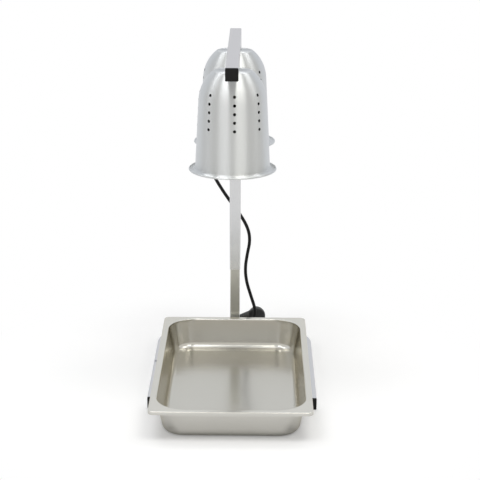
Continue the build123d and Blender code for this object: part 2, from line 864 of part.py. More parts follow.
def main():
    """Write one STEP file for each node."""
    os.makedirs("parts", exist_ok=True)
    for name, shape in all_nodes().items():
        solids = Compound(children=shape) if isinstance(shape, list) else shape
        export_step(solids, "parts/" + name + ".step")


main()
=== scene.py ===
"""Looks of a twin food heat lamp over a gastronorm pan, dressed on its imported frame.

Everything is in metres in the frame of the CAD model: +Z up, the front towards -Y, +X to the right.
"""
import json
import logging
import math
from collections.abc import Callable, Sequence
from dataclasses import dataclass, field
from enum import Enum
from typing import Any, ClassVar

import bmesh
import bpy
import numpy as np
from bpy.types import ID, Material, NodeSocket, Object, World
from mathutils import Euler, Matrix, Vector
from numpy.typing import NDArray


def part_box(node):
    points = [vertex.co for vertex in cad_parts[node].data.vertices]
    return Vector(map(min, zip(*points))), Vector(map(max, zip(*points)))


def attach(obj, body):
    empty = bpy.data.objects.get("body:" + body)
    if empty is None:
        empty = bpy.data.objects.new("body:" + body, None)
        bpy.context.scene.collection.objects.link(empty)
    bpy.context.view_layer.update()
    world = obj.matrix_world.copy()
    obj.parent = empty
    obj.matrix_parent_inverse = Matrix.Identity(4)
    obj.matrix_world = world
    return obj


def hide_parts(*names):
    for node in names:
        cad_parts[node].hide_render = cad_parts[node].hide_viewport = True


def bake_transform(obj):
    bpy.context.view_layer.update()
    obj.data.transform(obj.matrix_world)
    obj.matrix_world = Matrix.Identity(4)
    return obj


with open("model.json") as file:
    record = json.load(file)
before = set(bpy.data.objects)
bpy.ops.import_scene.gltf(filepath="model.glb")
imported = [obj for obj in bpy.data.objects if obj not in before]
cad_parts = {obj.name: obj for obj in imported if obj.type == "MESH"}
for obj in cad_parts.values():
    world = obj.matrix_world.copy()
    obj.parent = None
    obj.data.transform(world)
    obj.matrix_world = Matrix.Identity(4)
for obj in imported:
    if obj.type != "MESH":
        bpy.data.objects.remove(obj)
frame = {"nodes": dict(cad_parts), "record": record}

LOG = logging.getLogger("heat_lamp")
Numbers = NDArray[np.float64]
Faces = NDArray[np.int64]
Colour = tuple[float, float, float]
Place = tuple[float, float, float]
Point = Sequence[float]
Span = tuple[float, float]
Operator = Callable[["Value", Any], "Value"]
MM = 0.001
MERGE = 1e-6
WHITE: Colour = (1.0, 1.0, 1.0)


class Body(str, Enum):
    """Rigid bodies that the pieces ride on."""

    BASE = "base"
    MAST = "mast"
    CLAMP = "clamp_screw"
    PAN = "pan"


class Slot(str, Enum):
    """Material slots of the record."""

    SPUN = "spun_aluminium"
    TUBE = "silver_tube"
    POST = "post_steel"
    PAN = "pan_steel"
    PLASTIC = "black_plastic"
    RUBBER = "cord_rubber"
    ZINC = "zinc_steel"
    PINS = "pin_metal"
    CERAMIC = "white_ceramic"
    BRASS = "brass"
    CAP = "bulb_cap_metal"
    GLASS = "lamp_glass"
    NYLON = "white_nylon"
    SLEEVE = "wire_sleeve"


# Shader expressions


def both_ways(operation: str) -> tuple[Operator, Operator]:
    """An arithmetic operator and its reflected form, each of which adds one Math node."""

    def plain(self: "Value", other: Any) -> "Value":
        """This number first."""
        return self.graph.maths(operation, self, other)

    def reflected(self: "Value", other: Any) -> "Value":
        """The other number first."""
        return self.graph.maths(operation, other, self)

    return plain, reflected


class Value:
    """A shader socket whose arithmetic adds Math nodes to its tree."""

    def __init__(self, graph: "Graph", socket: NodeSocket) -> None:
        """Keeps the socket and the tree that it belongs to."""
        self.graph = graph
        self.socket = socket

    __add__, __radd__ = both_ways("ADD")
    __sub__, __rsub__ = both_ways("SUBTRACT")
    __mul__, __rmul__ = both_ways("MULTIPLY")
    __truediv__, __rtruediv__ = both_ways("DIVIDE")
    __pow__, __rpow__ = both_ways("POWER")


class Graph:
    """Node tree of one material or of the world."""

    def __init__(self, owner: Material | World) -> None:
        """Empties the owner's tree."""
        owner.use_nodes = True
        self.tree = owner.node_tree
        self.tree.nodes.clear()

    def node(self, kind: str, settings: dict[str, Any] | None = None,
             inputs: dict[int | str, Any] | None = None, output: int | str = 0) -> Value:
        """Adds a node.

        Args:
            kind: The node's type.
            settings: Its properties, set first.
            inputs: Values or links of its sockets, by name or number; colours get full cover.
            output: The output that is returned.

        Returns:
            The chosen output.
        """
        made = self.tree.nodes.new(kind)
        for name, value in (settings or {}).items():
            setattr(made, name, value)
        for key, value in (inputs or {}).items():
            socket = made.inputs[key]
            if isinstance(value, Value):
                self.tree.links.new(value.socket, socket)
            else:
                socket.default_value = (*value, 1.0) if socket.type == "RGBA" else value
        return Value(self, made.outputs[output])

    def maths(self, operation: str, first: Any, second: Any) -> Value:
        """Adds a Math node."""
        return self.node("ShaderNodeMath", {"operation": operation}, {0: first, 1: second})

    def place(self) -> Value:
        """Object coordinates, which are metres in the frame."""
        return self.node("ShaderNodeTexCoord", output="Object")

    def moved(self, vector: Value, location: Place = (0, 0, 0), scale: Place = (1, 1, 1)) -> Value:
        """Vector scaled, then moved."""
        return self.node("ShaderNodeMapping", inputs={"Vector": vector, "Location": location, "Scale": scale})

    def axes(self, vector: Value) -> tuple[Value, ...]:
        """The three numbers of a vector."""
        split = self.node("ShaderNodeSeparateXYZ", inputs={0: vector})
        return tuple(Value(self, output) for output in split.socket.node.outputs)

    def noise(self, vector: Value, scale: float = 1.0, detail: float = 2.0, rough: float = 0.5) -> Value:
        """Soft noise between about 0 and 1."""
        return self.node("ShaderNodeTexNoise", inputs={
            "Vector": vector, "Scale": scale, "Detail": detail, "Roughness": rough})

    def eased(self, value: Value, start: float, end: float) -> Value:
        """Smooth step from 0 to 1 as the value goes from start up or down to end."""
        return self.node("ShaderNodeMapRange", {"interpolation_type": "SMOOTHSTEP"}, {
            "Value": value, "From Min": start, "From Max": end})

    def blended(self, factor: Value, first: Any, second: Any) -> Value:
        """Mix of two colours, by the numbers of the Mix node's colour sockets."""
        return self.node("ShaderNodeMix", {"data_type": "RGBA"}, {0: factor, 6: first, 7: second}, 2)

    def bump(self, height: Value, distance: float, strength: float = 1.0, under: Value | None = None) -> Value:
        """Normal tilted by a height, over another bump if one is given."""
        inputs = {"Height": height, "Distance": distance, "Strength": strength}
        if under is not None:
            inputs["Normal"] = under
        return self.node("ShaderNodeBump", inputs=inputs)

    def seen(self) -> tuple[Value, Value]:
        """Rays that see the surroundings.

        Returns:
            1 for rays from the camera, and 1 for these and for mirrored and refracted ones.
        """
        rays = self.node("ShaderNodeLightPath").socket.node.outputs
        camera, glossy, through = (Value(self, rays[f"Is {ray} Ray"]) for ray in ("Camera", "Glossy", "Transmission"))
        return camera, self.maths("MAXIMUM", camera, self.maths("MAXIMUM", glossy, through))

    def surface(self, **sockets: Any) -> None:
        """Ends the tree in a Principled shader; underscores in names stand for spaces."""
        inputs = {name.replace("_", " "): value for name, value in sockets.items()}
        self.end(self.node("ShaderNodeBsdfPrincipled", inputs=inputs))

    def end(self, shader: Value, kind: str = "ShaderNodeOutputMaterial") -> None:
        """Links a shader to the tree's output node."""
        output = self.tree.nodes.new(kind)
        self.tree.links.new(shader.socket, output.inputs["Surface"])


def lit(colour: Colour, gain: float) -> Colour:
    """Colour times a gain."""
    return tuple(gain * channel for channel in colour)


def grey(level: float) -> Colour:
    """Colour with the same level in all channels."""
    return (level, level, level)


# Finishes


@dataclass(frozen=True)
class Finish:
    """Looks of one material slot."""

    slot: Slot
    colour: Colour
    roughness: float
    uneven: ClassVar[Span]

    def shade(self, graph: Graph) -> None:
        """Lays out the nodes."""
        raise NotImplementedError

    def rough(self, first: Value, second: Value) -> Value:
        """Roughness with its shares of two patterns."""
        return self.roughness + first * self.uneven[0] + second * self.uneven[1]

    def build(self, name: str) -> Material:
        """Makes the material."""
        material = bpy.data.materials.new(name)
        self.shade(Graph(material))
        return material


@dataclass(frozen=True)
class SpunMetal(Finish):
    """Aluminium spun on a lathe: fine rings round an upright axis, seen as fans of light.

    The rings lie along height less radius, which falls steadily from crown to rim. Shade is painted on the
    metal where the skin faces in or down, and on the vents' walls in the band with the vents.
    """

    uneven: ClassVar[Span] = (0.06, 0.05)
    axis: Span
    vented: Span
    shades: Span = (0.93, 1.05)
    # Gain of the painted shade inside the bell and on the vents' walls.
    inside: float = 0.12
    stretch: float = 1.0
    stretch_turn: float = 0.25
    ring_scale: float = 2600.0
    ring_wander: float = 4.0
    ring_depth: float = 0.006 * MM
    ring_share: float = 0.5
    smudge_scale: float = 22.0
    vent_shade_facing: Span = (0.55, 0.35)
    inside_shade_facing: Span = (-0.3, -0.7)

    def shade(self, graph: Graph) -> None:
        """Lays out the nodes."""
        place = graph.moved(graph.place(), (-self.axis[0], -self.axis[1], 0.0))
        x, y, z = graph.axes(place)
        radius = (x * x + y * y) ** 0.5
        along = {0: (z - radius) * self.ring_scale}
        wander = {axis: side / (radius + MM) * self.ring_wander for axis, side in ((1, x), (2, y))}
        rings = graph.noise(graph.node("ShaderNodeCombineXYZ", inputs=along | wander), detail=3.0, rough=0.6)
        smudge = graph.noise(place, self.smudge_scale, detail=3.0, rough=0.55)
        dark, light = (lit(self.colour, gain) for gain in self.shades)
        tone = graph.blended(rings * self.ring_share + smudge * (1.0 - self.ring_share), dark, light)
        # Painted shade: the inner skin and the vents' walls take a dark copy of the colour.
        facing_x, facing_y, facing_z = graph.axes(graph.node("ShaderNodeNewGeometry", output="Normal"))
        outward = (facing_x * x + facing_y * y) / (radius + MM)
        low, high = self.vented
        band = graph.eased(z, low - MM, low) * graph.eased(z, high + MM, high)
        vent_shade = graph.eased(outward, *self.vent_shade_facing) * band
        painted_shade = graph.maths("MAXIMUM", graph.eased(outward + facing_z, *self.inside_shade_facing), vent_shade)
        graph.surface(
            Base_Color=graph.blended(painted_shade, tone, lit(self.colour, self.inside)),
            Metallic=1.0,
            Roughness=self.rough(rings, smudge),
            Anisotropic=self.stretch,
            Anisotropic_Rotation=self.stretch_turn,
            Normal=graph.bump(rings, self.ring_depth),
        )


@dataclass(frozen=True)
class PaintedSheen:
    """Sheen painted on the sheet: colour made brighter by a gain; each span goes from none to full, upwards,
    downwards or to the front.
    """

    gain: float
    rise: Span
    fall: Span | None = None
    front: Span | None = None


@dataclass(frozen=True)
class SatinSheet(Finish):
    """Drawn stainless sheet: soft sheen, fine grain, slow waves, duller at a glancing view."""

    uneven: ClassVar[Span] = (0.06, 0.04)
    tint: Colour
    edge_tint: Colour = WHITE
    # Bands of painted sheen.
    painted_sheen: tuple[PaintedSheen, ...] = ()
    wave_scale: float = 9.0
    wave_depth: float = 0.25 * MM
    grain_scale: Place = (2200.0, 260.0, 2200.0)
    grain_depth: float = 0.004 * MM
    cloud_scale: float = 30.0
    cloud_share: float = 0.7

    def wear_and_sheen(self, graph: Graph, colour: Colour) -> Any:
        """Colour made brighter in the bands of painted sheen."""
        tone = colour
        _, y, z = graph.axes(graph.place())
        # Each band of painted sheen blends in a brighter copy of the colour.
        for painted_sheen in self.painted_sheen:
            share = graph.eased(z, *painted_sheen.rise)
            for value, span in ((z, painted_sheen.fall), (y, painted_sheen.front)):
                if span is not None:
                    share = share * graph.eased(value, *span)
            tone = graph.blended(share, tone, lit(colour, painted_sheen.gain))
        return tone

    def shade(self, graph: Graph) -> None:
        """Lays out the nodes."""
        place = graph.place()
        waves = graph.noise(place, self.wave_scale, detail=1.0)
        grain = graph.noise(graph.moved(place, scale=self.grain_scale))
        cloud = graph.noise(place, self.cloud_scale, detail=4.0, rough=0.6)
        tones = (self.wear_and_sheen(graph, colour) for colour in (self.colour, self.tint))
        mottle = cloud * self.cloud_share + grain * (1.0 - self.cloud_share)
        graph.surface(
            Base_Color=graph.blended(mottle, *tones),
            Metallic=1.0,
            Roughness=self.rough(cloud, grain),
            Specular_Tint=self.edge_tint,
            Normal=graph.bump(grain, self.grain_depth, under=graph.bump(waves, self.wave_depth)),
        )


@dataclass(frozen=True)
class PlainMetal(Finish):
    """Machined or plated metal with a fine even grain."""

    uneven: ClassVar[Span] = (0.05, 0.05)
    dark_gain: float = 0.9
    cloud_scale: float = 60.0
    grain_scale: float = 900.0
    grain_depth: float = 0.006 * MM

    def shade(self, graph: Graph) -> None:
        """Lays out the nodes."""
        place = graph.place()
        grain = graph.noise(place, self.grain_scale, detail=3.0, rough=0.6)
        cloud = graph.noise(place, self.cloud_scale, detail=3.0)
        graph.surface(
            Base_Color=graph.blended(cloud, lit(self.colour, self.dark_gain), self.colour),
            Metallic=1.0,
            Roughness=self.rough(cloud, grain),
            Normal=graph.bump(grain, self.grain_depth),
        )


@dataclass(frozen=True)
class Moulding(Finish):
    """Moulded plastic, rubber or ceramic with a fine skin and faint rubbing."""

    uneven: ClassVar[Span] = (0.1, -0.06)
    wear_and_sheen: Colour
    skin_scale: float = 1400.0
    skin_depth: float = 0.02 * MM
    skin_strength: float = 0.6
    wear_scale: float = 45.0
    wear_span: Span = (0.45, 0.8)
    gloss: float = 0.5

    def shade(self, graph: Graph) -> None:
        """Lays out the nodes."""
        place = graph.place()
        skin = graph.noise(place, self.skin_scale)
        wear = graph.eased(graph.noise(place, self.wear_scale, detail=4.0, rough=0.65), *self.wear_span)
        graph.surface(
            Base_Color=graph.blended(wear, self.colour, self.wear_and_sheen),
            Roughness=self.rough(skin, wear),
            Specular_IOR_Level=self.gloss,
            Normal=graph.bump(skin, self.skin_depth, self.skin_strength),
        )


@dataclass(frozen=True)
class FrostedGlass(Finish):
    """Pressed bulb glass with a frosted face and a dark reflector coat on its back."""

    uneven: ClassVar[Span] = (0.1, 0.4)
    node: ClassVar[str] = "front_bulb_glass"
    frost: Colour = (0.97, 0.96, 0.94)
    coat: Colour = (0.07, 0.07, 0.07)
    coat_rise: float = 30.0 * MM
    coat_fade: float = 2.0 * MM
    through: float = 0.55
    dimple_scale: float = 320.0
    dimple_depth: float = 0.2 * MM
    dimple_strength: float = 0.4

    def shade(self, graph: Graph) -> None:
        """Lays out the nodes."""
        dimple = graph.noise(graph.place(), self.dimple_scale)
        face = graph.blended(dimple, self.colour, self.frost)
        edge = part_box(self.node)[0].z + self.coat_rise
        coated = graph.eased(graph.axes(graph.place())[2], edge, edge + self.coat_fade)
        graph.surface(
            Base_Color=graph.blended(coated, face, self.coat),
            Roughness=self.rough(dimple, coated),
            Transmission_Weight=self.through,
            Normal=graph.bump(dimple, self.dimple_depth, self.dimple_strength),
        )


# Surfaces


def corners(node: str) -> tuple[Numbers, Numbers]:
    """Lowest and highest corner of a CAD node."""
    low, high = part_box(node)
    return np.array(low), np.array(high)


def line(start: Point, end: Point, count: int) -> Numbers:
    """Points evenly spaced on a straight line, both ends included."""
    return np.linspace(start, end, count)


def arc(centre: Point, radius: Point | float, start: float, end: float, count: int) -> Numbers:
    """Points of an arc: centre plus the radius, or an ellipse's two, times cosine and sine of an angle in degrees."""
    angle = np.radians(np.linspace(start, end, count))
    return np.stack([np.cos(angle), np.sin(angle)], axis=-1) * radius + centre


def joined(*stretches: Numbers) -> Numbers:
    """Stretches of a profile one after another, without points that repeat."""
    points = np.concatenate(stretches)
    steps = np.linalg.norm(np.diff(points, axis=0), axis=1)
    return points[np.concatenate([[True], steps > MERGE])]


def smooth(share: Numbers) -> Numbers:
    """Smooth step s s (3 - 2 s) of a share kept between 0 and 1."""
    share = np.clip(share, 0.0, 1.0)
    return share * share * (3.0 - 2.0 * share)


def around(radius: Numbers, angle: Numbers, height: Numbers) -> Numbers:
    """Points (r cos a, r sin a, z) about the Z axis, the arrays spread over each other."""
    return np.stack(np.broadcast_arrays(radius * np.cos(angle), radius * np.sin(angle), height), axis=-1)


def turned(profile: Numbers, angles: Numbers) -> Numbers:
    """Surface of revolution about Z: each profile point (radius, height) at each angle.

    Args:
        profile: Points of radius and height.
        angles: Angles in radians.

    Returns:
        Grid of points, a row for each profile point.
    """
    return around(profile[:, :1], angles, profile[:, 1:])


def laid_back(points: Numbers) -> Numbers:
    """Points made on the Z axis, turned so that this axis points to the rear: (x, y, z) to (x, z, -y)."""
    return np.stack([points[..., 0], points[..., 2], -points[..., 1]], axis=-1)


def ringed(start: float, end: float, length: float, rings: int, depth: float, count: int) -> Numbers:
    """Profile of a tapered sleeve with rounded rings.

    The radius goes evenly from start to end; a groove depth (1 - cos 2 pi k s) / 2 is taken off it, with k
    rings along the share s of the length.

    Args:
        start: Radius at the foot.
        end: Radius at the tip.
        length: Length along the axis.
        rings: Number of rings.
        depth: Depth of the grooves.
        count: Number of points.

    Returns:
        Points of radius and height.
    """
    share = np.linspace(0.0, 1.0, count)
    groove = depth * (1.0 - np.cos(2.0 * math.pi * rings * share)) / 2.0
    return np.stack([start + (end - start) * share - groove, length * share], axis=-1)


def full_turn(count: int, start: float = 0.0) -> Numbers:
    """Angles of a whole turn in radians, the last one short of the first."""
    return start + np.linspace(0.0, 2.0 * math.pi, count, endpoint=False)


@dataclass
class Surface:
    """Patches of points and quads that become one mesh."""

    name: str
    points: list[Numbers] = field(default_factory=list)
    faces: list[Faces] = field(default_factory=list)

    def add(self, *patches: Numbers, wrap: bool = True) -> "Surface":
        """Adds grids of points with their quads.

        Args:
            patches: Points, with rows and columns as the axes before the last; each may hold many grids.
            wrap: Whether the last column joins the first.

        Returns:
            The surface.
        """
        for patch in patches:
            start = sum(map(len, self.points))
            here = start + np.arange(patch.size // 3).reshape(-1, *patch.shape[-3:-1])
            after = np.roll(here, -1, axis=2)
            quads = np.stack([here[:, :-1], after[:, :-1], after[:, 1:], here[:, 1:]], axis=-1)
            self.points.append(patch.reshape(-1, 3))
            self.faces.append((quads if wrap else quads[:, :, :-1]).reshape(-1, 4))
        return self

    def finish(self, at: Point = (0.0, 0.0, 0.0), sharp: float = 35.0) -> Object:
        """Makes the mesh: shared edges merged, faces outwards, smooth up to an angle in degrees.

        Args:
            at: Where the patches' origin goes.
            sharp: Edges that bend by more than this stay crisp.

        Returns:
            The object, at the origin.
        """
        mesh = bpy.data.meshes.new(self.name)
        mesh.from_pydata(np.concatenate(self.points) + at, [], np.concatenate(self.faces))
        work = bmesh.new()
        work.from_mesh(mesh)
        bmesh.ops.remove_doubles(work, verts=work.verts, dist=MERGE)
        bmesh.ops.recalc_face_normals(work, faces=work.faces)
        work.to_mesh(mesh)
        work.free()
        mesh.shade_smooth()
        mesh.set_sharp_from_angle(angle=math.radians(sharp))
        return placed(self.name, mesh)


def placed(name: str, data: ID) -> Object:
    """Puts a new object in the scene."""
    made = bpy.data.objects.new(name, data)
    bpy.context.scene.collection.objects.link(made)
    return made


def dress(piece: Object, finish: Finish, name: str, body: Body | None, *nodes: str) -> Object:
    """Gives a new piece its looks and its part in the frame.

    Args:
        piece: The piece.
        finish: Its finish, which names its slot.
        name: Name of its material.
        body: The body that it rides on, if it rides on one alone.
        nodes: CAD nodes that it stands for.

    Returns:
        The piece.
    """
    piece.data.materials.append(finish.build(name))
    if body is not None:
        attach(piece, body.value)
    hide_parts(*nodes)
    LOG.info("%s: %d faces", piece.name, len(piece.data.polygons))
    return piece


# Sub-assemblies


@dataclass
class Shade:
    """Spun bell with a rolled rim and columns of vents, in place of its CAD node."""

    node: str
    vent_turn: float
    wall: float = 1.2 * MM
    crown_hole: float = 5.05 * MM
    dome_radius: float = 67.0 * MM
    dome_height: float = 74.3 * MM
    crown_rise: float = 61.0 * MM
    crown_bend: float = 2.5 * MM
    bend_search: Span = (0.2, 1.4)
    taper: float = 3.05
    flare: float = 5.0 * MM
    bead: float = 1.8 * MM
    vent_radius: float = 3.0 * MM
    vent_columns: int = 8
    vent_rows: int = 5
    vent_drop: float = 39.5 * MM
    vent_pitch: float = 16.5 * MM
    vent_rings: tuple[float, ...] = (0.0, 0.12, 0.35, 0.65, 1.0)
    cell_turns: int = 4
    sector_turns: int = 24
    cell_rows: int = 8
    colour: Colour = (0.75, 0.765, 0.77)
    roughness: float = 0.40

    def __post_init__(self) -> None:
        """Reads the bell's place and size from the frame."""
        low, high = corners(self.node)
        self.foot = np.array([*(low + high)[:2] / 2, low[2]])
        self.height = high[2] - low[2]
        self.rim_radius = (high[0] - low[0]) / 2
        self.dome_foot = self.height - self.crown_rise
        self.vent_top = self.height - self.vent_drop
        self.band_top = self.vent_top + self.vent_pitch / 2
        self.band_foot = self.band_top - self.vent_rows * self.vent_pitch
        self.step = 2.0 * math.pi / (self.vent_columns * self.sector_turns)
        self.start = math.radians(self.vent_turn - 90.0)
        self.columns = self.start + np.arange(self.vent_columns) * self.sector_turns * self.step

    def radius_at(self, height: Numbers | float, inset: float) -> Numbers:
        """Radius of the bell's side: an ellipse above the shoulder, a straight taper below it.

        With w and h the ellipse's half axes, the taper's slope k meets it at the angle atan(k h / w).
        """
        slope = math.tan(math.radians(self.taper))
        wide, tall = self.dome_radius - inset, self.dome_height - inset
        meet = math.atan(slope * tall / wide)
        shoulder = self.dome_foot + tall * math.sin(meet)
        rise = np.clip((height - self.dome_foot) / tall, 0.0, 1.0)
        dome = wide * np.sqrt(1.0 - rise * rise)
        straight = wide * math.cos(meet) + (shoulder - height) * slope
        return np.where(height > shoulder, dome, straight)

    def top_profile(self, inset: float) -> Numbers:
        """Crown from its hole out, round its bend and over the dome to the top of the vents.

        The bend of radius b touches the ellipse (w cos t, h sin t) where the point b inside it, along the
        normal (cos t / w, sin t / h), lies b below the crown.
        """
        wide, tall = self.dome_radius - inset, self.dome_height - inset
        top, bend = self.height - inset, self.crown_bend - inset
        turn = np.linspace(*self.bend_search, 1000)
        lean = np.arctan2(np.sin(turn) / tall, np.cos(turn) / wide)
        level = self.dome_foot + tall * np.sin(turn) - bend * np.sin(lean)
        meet = float(np.interp(top - bend, level, turn))
        slant = float(np.interp(meet, turn, lean))
        centre = (wide * math.cos(meet) - bend * math.cos(slant), top - bend)
        last = math.degrees(math.asin((self.band_top - self.dome_foot) / tall))
        return joined(line((self.crown_hole, top), (centre[0], top), 10),
                      arc(centre, bend, 90.0, math.degrees(slant), 10),
                      arc((0.0, self.dome_foot), (wide, tall), math.degrees(meet), last, 40))

    def skirt(self, inset: float, bead_turn: float) -> Numbers:
        """Wall below the vents, then the flare out to the flat flange, which meets the bead at an angle."""
        taper = math.radians(self.taper)
        flare = self.flare + inset
        flange = self.bead + self.wall / 2 - inset
        foot_z = flange + flare * (1.0 - math.sin(taper))
        foot_r, start_r = (float(self.radius_at(height, inset)) for height in (foot_z, self.band_foot))
        centre = (foot_r + flare * math.cos(taper), flange + flare)
        reach = self.rim_radius - self.bead * (1.0 + math.cos(bead_turn))
        return joined(line((start_r, self.band_foot), (foot_r, foot_z), 40),
                      arc(centre, -flare, self.taper, 90.0, 18),
                      line((centre[0], flange), (reach, flange), 6))

    def rim_profile(self) -> Numbers:
        """Outside of the skirt, round the rolled bead and back up the inside."""
        meet = math.asin(self.wall / 2 / self.bead)
        turn = 180.0 - math.degrees(meet)
        roll = arc((self.rim_radius - self.bead, self.bead), self.bead, turn, -turn, 28)
        return joined(self.skirt(0.0, meet), roll, self.skirt(self.wall, meet)[::-1])

    def cells(self, inset: float) -> Numbers:
        """Vented patches: rings of points that go from each round vent out to its square cell.

        Args:
            inset: Distance of the skin from the outer one.

        Returns:
            Points by column, row, ring and place round the vent.
        """
        side = np.linspace(-1.0, 1.0, self.cell_rows + 1)[:-1]
        one = np.ones_like(side)
        across = np.concatenate([side, one, -side, -one])
        upward = np.concatenate([-one, side, one, -side])
        half_turn, half_rise = self.cell_turns * self.step, self.vent_pitch / 2
        reach = float(self.radius_at(self.vent_top, 0.0)) * half_turn
        way = np.arctan2(upward * half_rise, across * reach)
        rows = self.vent_top - self.vent_pitch * np.arange(self.vent_rows)
        rise = rows[:, None] + self.vent_radius * np.sin(way)
        lean = np.arcsin(self.vent_radius * np.cos(way) / self.radius_at(rise, inset))
        share = np.array(self.vent_rings)[:, None]
        turn = lean[:, None, :] * (1.0 - share) + across * half_turn * share
        height = rise[:, None, :] * (1.0 - share) + (rows[:, None, None] + upward * half_rise) * share
        return around(self.radius_at(height, inset), self.columns[:, None, None, None] + turn, height)

    def add_band(self, surface: Surface, inset: float) -> Numbers:
        """Adds the vented band of one skin: the cells, and plain strips between their columns.

        Args:
            surface: Where the patches go.
            inset: Distance of the skin from the outer one.

        Returns:
            The points round each vent, by column, row and place.
        """
        cells = self.cells(inset)
        surface.add(cells)
        height = np.linspace(self.band_top, self.band_foot, self.vent_rows * self.cell_rows + 1)
        profile = np.stack([self.radius_at(height, inset), height], axis=-1)
        strip = np.arange(self.cell_turns, self.sector_turns - self.cell_turns + 1) * self.step
        surface.add(turned(profile, self.columns[:, None, None] + strip), wrap=False)
        return cells[:, :, 0]

    def build(self) -> None:
        """Builds and dresses the bell."""
        surface = Surface(self.node + "_bell")
        surface.add(np.stack([self.add_band(surface, inset) for inset in (0.0, self.wall)], axis=2))
        crown = joined(self.top_profile(self.wall)[::-1], self.top_profile(0.0))
        angles = full_turn(self.vent_columns * self.sector_turns, self.start)
        surface.add(turned(crown, angles), turned(self.rim_profile(), angles))
        x, y, z = map(float, self.foot)
        vented = (z + self.band_foot, z + self.band_top)
        metal = SpunMetal(Slot.SPUN, self.colour, self.roughness, (x, y), vented)
        dress(surface.finish(self.foot), metal, self.node + "_metal", Body.MAST, self.node)


@dataclass
class FoodPan:
    """Drawn gastronorm pan: rounded-rectangle loops carried along the sheet's profile."""

    node: str = "food_pan"
    sheet: float = 0.8 * MM
    flange: float = 12.5 * MM
    lip: float = 7.0 * MM
    flange_corner: float = 12.0 * MM
    corner: float = 57.0 * MM
    floor_radius: float = 14.0 * MM
    taper: float = 11.5
    bend: float = 3.5 * MM
    edge: float = 1.5 * MM
    shoulder: float = 6.0 * MM
    corner_steps: int = 20
    side_steps: int = 44
    floor_steps: int = 40
    sharp: float = 40.0
    # Painted sheen: the sheet is made brighter towards the top of the flange.
    finish: SatinSheet = SatinSheet(Slot.PAN, (0.61, 0.598, 0.56), 0.16, (0.65, 0.638, 0.60), (0.82, 0.795, 0.73),
                                    (PaintedSheen(1.15, (61.5 * MM, 64.5 * MM)),))

    def __post_init__(self) -> None:
        """Reads the pan's place and size from the frame."""
        low, high = corners(self.node)
        self.foot = np.array([*(low + high)[:2] / 2, low[2]])
        self.depth = high[2] - low[2]
        self.half = (high - low)[:2] / 2 - self.flange

    def wall_bend(self, level: float, radius: float, inset: float, turn: Span, count: int) -> Numbers:
        """Bend that runs into the slanting wall.

        Args:
            level: Height of its centre.
            radius: Its radius, less than 0 where it turns outwards.
            inset: Distance of the skin from the wall's outer one.
            turn: Its first and last angle in degrees.
            count: Number of points.

        Returns:
            Points of reach outwards from the mouth's line, and height.
        """
        slant = math.radians(self.taper)
        reach = (level - self.depth) * math.tan(slant) - (inset + radius) / math.cos(slant)
        return arc((reach, level), radius, *turn, count)

    def skin(self, inset: float) -> Numbers:
        """One skin from the edge of the floor up the wall and over the bend: reach and height."""
        low, high = self.floor_radius, self.depth - self.bend
        foot = self.wall_bend(low, low - inset, inset, (-90.0, -self.taper), 18)
        mouth = self.wall_bend(high, self.sheet - self.bend - inset, inset, (-self.taper, -90.0), 10)
        return joined(foot, line(foot[-1], mouth[0], 16), mouth)

    def corner_at(self, profile: Numbers) -> Numbers:
        """Corner radius of each loop: parallel to the wall's, and wider by a shoulder over the mouth's bend."""
        share = (profile[:, 1] - self.depth) / self.bend + 1.0
        return self.corner + profile[:, 0] + self.shoulder * smooth(share)

    def loops(self, profile: Numbers, corner: Numbers) -> Numbers:
        """Rounded-rectangle loops, one for each profile point.

        Args:
            profile: Reach outwards from the mouth's line, and height.
            corner: Corner radius of each loop.

        Returns:
            Grid of points, a row for each loop.
        """
        quarter = np.radians(np.linspace(0.0, 90.0, self.corner_steps + 1))
        angle = quarter + np.arange(4)[:, None] * math.pi / 2
        signs = np.array([(1, 1), (-1, 1), (-1, -1), (1, -1)])[:, None]
        radius = corner[:, None, None, None]
        centre = signs * ((self.half + profile[:, :1])[:, None, None] - radius)
        arcs = centre + radius * np.stack([np.cos(angle), np.sin(angle)], axis=-1)
        start, end = arcs[:, :, -1:], np.roll(arcs, -1, axis=1)[:, :, :1]
        share = np.linspace(0.0, 1.0, self.side_steps + 1)[1:-1, None]
        flat = np.concatenate([arcs, start + (end - start) * share], axis=2).reshape(len(profile), -1, 2)
        height = np.broadcast_to(profile[:, 1:, None], (*flat.shape[:2], 1))
        return np.concatenate([flat, height], axis=-1)

    def floor(self, loop: Numbers) -> Numbers:
        """Flat floor: the loop shrunk in steps to its middle."""
        share = np.linspace(0.0, 1.0, self.floor_steps)[:, None, None]
        return loop * (share * (1.0, 1.0, 0.0) + (0.0, 0.0, 1.0))

    def flange_profile(self) -> tuple[Numbers, Numbers]:
        """Flange, turned edge and lip from the mouth's bend out and back under, with corner radii."""
        out, top, edge, under = self.flange, self.depth, self.edge, self.flange - self.sheet
        inner, outer = (self.skin(inset)[-1] for inset in (self.sheet, 0.0))
        profile = joined(line(inner, (out - edge, top), 10),
                         arc((out - edge, top - edge), edge, 90.0, 0.0, 10),
                         line((out, top - edge), (out, top - self.lip), 4),
                         line((under, top - self.lip), (under, top - self.sheet), 4),
                         line((under, top - self.sheet), outer, 10))
        share = np.clip((profile[:, 0] - inner[0]) / (out - edge - inner[0]), 0.0, 1.0)
        edge_corner = self.flange_corner - out + profile[:, 0]
        return profile, (1.0 - share) * self.corner_at(profile) + share * edge_corner

    def build(self) -> None:
        """Builds and dresses the pan."""
        surface = Surface("food_pan_shell")
        for inset in (self.sheet, 0.0):
            skin = self.skin(inset)
            grid = self.loops(skin, self.corner_at(skin))
            surface.add(grid, self.floor(grid[0]))
        surface.add(self.loops(*self.flange_profile()))
        dress(surface.finish(self.foot, self.sharp), self.finish, "pan_sheet", Body.PAN, self.node)


